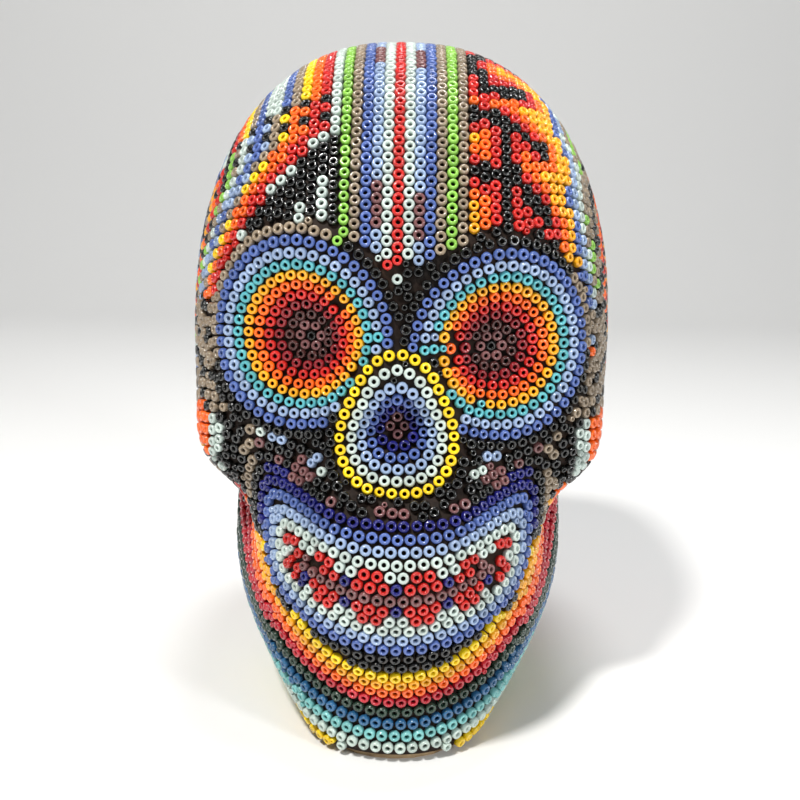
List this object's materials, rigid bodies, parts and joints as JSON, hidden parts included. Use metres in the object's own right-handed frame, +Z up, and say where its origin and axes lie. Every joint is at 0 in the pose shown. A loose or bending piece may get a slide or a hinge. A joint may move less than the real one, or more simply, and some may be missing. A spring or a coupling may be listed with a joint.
{
  "type": "beaded skull figure",
  "caption": "Skull-shaped folk-art figure: a moulded form under a coat of wax, covered all over with rows of glass seed beads in bright patterns.",
  "frame": {"origin": "middle of the flat base that the skull stands on", "axes": "+Z up, the face looks along -Y, +X towards the picture's right"},
  "size_m": [0.09, 0.1225, 0.1426],
  "materials": {
    "core": "matt moulded form",
    "wax": "dark satin beeswax",
    "glass_amber": "opaque glossy glass",
    "glass_black": "opaque glossy glass",
    "glass_brown": "opaque glossy glass",
    "glass_cobalt": "opaque glossy glass",
    "glass_crimson": "opaque glossy glass",
    "glass_dark_brown": "opaque glossy glass",
    "glass_dark_green": "opaque glossy glass",
    "glass_dark_red": "opaque glossy glass",
    "glass_green": "opaque glossy glass",
    "glass_mint": "opaque glossy glass",
    "glass_navy": "opaque glossy glass",
    "glass_orange": "opaque glossy glass",
    "glass_pale_mint": "opaque glossy glass",
    "glass_red": "opaque glossy glass",
    "glass_seafoam": "opaque glossy glass",
    "glass_sky": "opaque glossy glass",
    "glass_steel_blue": "opaque glossy glass",
    "glass_tan": "opaque glossy glass",
    "glass_turquoise": "opaque glossy glass",
    "glass_yellow": "opaque glossy glass"
  },
  "bodies": {
    "root": {"core_form": "core", "wax_coat": "wax", "left_eye_black_beads": "glass_black", "left_eye_brown_beads": "glass_brown", "left_eye_dark_brown_beads": "glass_dark_brown", "left_eye_dark_red_beads": "glass_dark_red", "left_eye_red_beads": "glass_red", "left_eye_orange_beads": "glass_orange", "left_eye_amber_beads": "glass_amber", "left_eye_turquoise_beads": "glass_turquoise", "left_eye_sky_beads": "glass_sky", "left_eye_cobalt_beads": "glass_cobalt", "right_eye_black_beads": "glass_black", "right_eye_brown_beads": "glass_brown", "right_eye_dark_brown_beads": "glass_dark_brown", "right_eye_dark_red_beads": "glass_dark_red", "right_eye_red_beads": "glass_red", "right_eye_orange_beads": "glass_orange", "right_eye_amber_beads": "glass_amber", "right_eye_turquoise_beads": "glass_turquoise", "right_eye_sky_beads": "glass_sky", "right_eye_cobalt_beads": "glass_cobalt", "nose_brown_beads": "glass_brown", "nose_navy_beads": "glass_navy", "nose_cobalt_beads": "glass_cobalt", "nose_sky_beads": "glass_sky", "nose_mint_beads": "glass_mint", "nose_yellow_beads": "glass_yellow", "mouth_brown_beads": "glass_brown", "mouth_red_beads": "glass_red", "mouth_navy_spacer_beads": "glass_navy", "mouth_mint_beads": "glass_mint", "mouth_sky_beads": "glass_sky", "mouth_cobalt_beads": "glass_cobalt", "mouth_navy_beads": "glass_navy", "crown_red_beads": "glass_red", "crown_mint_beads": "glass_mint", "crown_sky_beads": "glass_sky", "crown_brown_dash_beads": "glass_brown", "crown_cobalt_beads": "glass_cobalt", "crown_tan_beads": "glass_tan", "crown_green_beads": "glass_green", "jaw_yellow_beads": "glass_yellow", "jaw_amber_beads": "glass_amber", "jaw_orange_beads": "glass_orange", "jaw_crimson_beads": "glass_crimson", "jaw_dark_green_beads": "glass_dark_green", "jaw_steel_blue_beads": "glass_steel_blue", "jaw_seafoam_beads": "glass_seafoam", "jaw_pale_mint_beads": "glass_pale_mint", "left_forehead_bead_field": "glass_orange", "left_temple_bead_field": "glass_red", "left_jaw_bead_field": "glass_amber", "right_forehead_bead_field": "glass_orange", "right_temple_bead_field": "glass_red", "right_jaw_bead_field": "glass_amber", "nape_bead_field": "glass_orange"}
  },
  "joints": []
}
